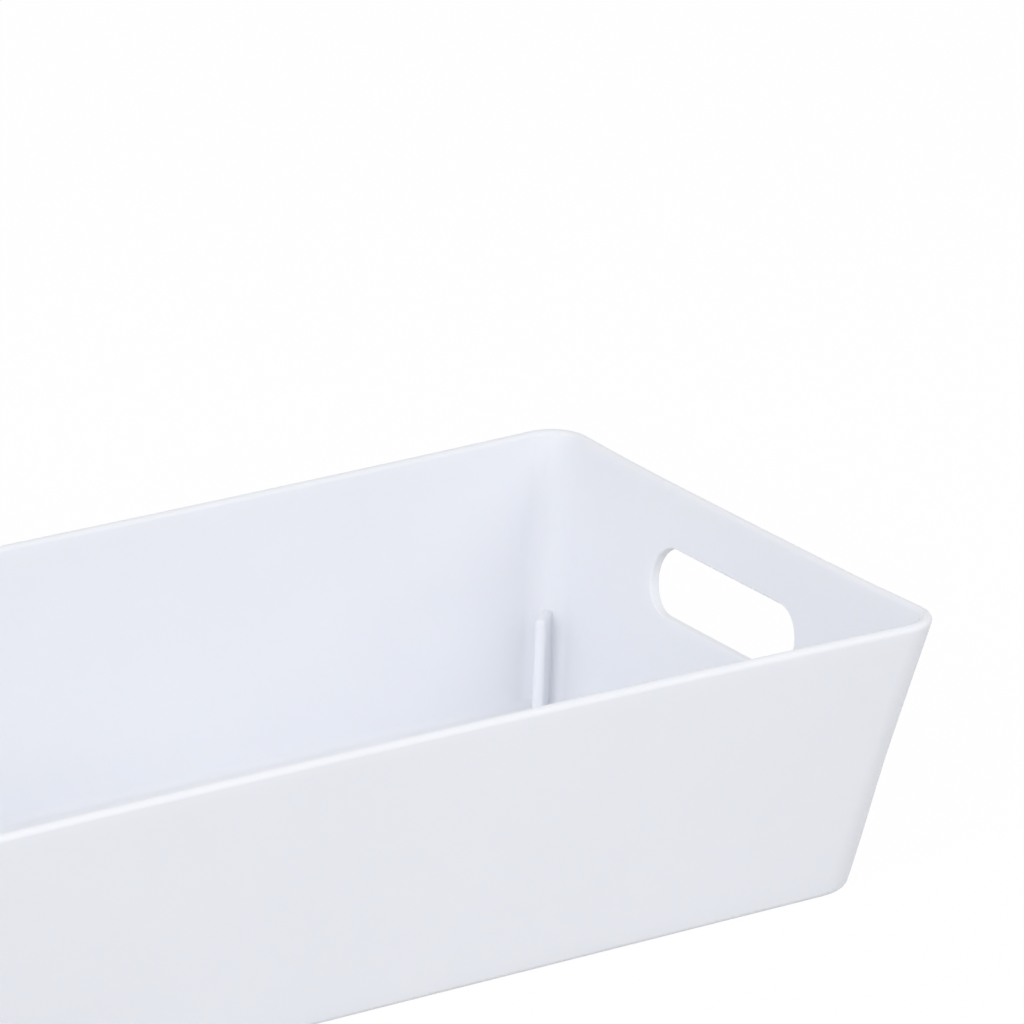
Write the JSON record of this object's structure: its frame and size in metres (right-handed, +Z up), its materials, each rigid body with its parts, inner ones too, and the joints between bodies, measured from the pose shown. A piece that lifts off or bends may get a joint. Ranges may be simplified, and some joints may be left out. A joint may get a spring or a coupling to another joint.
{
  "type": "rectangular storage tray",
  "caption": "Open rectangular drawer tray in white moulded plastic, with leaning walls, a hand slot in each end and upright stacking ribs in the inside corners.",
  "frame": {"origin": "middle of the base, on the surface the tray stands on", "axes": "+X along the long side, +Y across the tray, +Z up out of the open top"},
  "size_m": [0.2644, 0.1494, 0.0625],
  "materials": {
    "white_polypropylene": "fine satin moulded surface, very slightly cool white"
  },
  "bodies": {
    "root": {"tray_moulding": "white_polypropylene"}
  },
  "joints": []
}
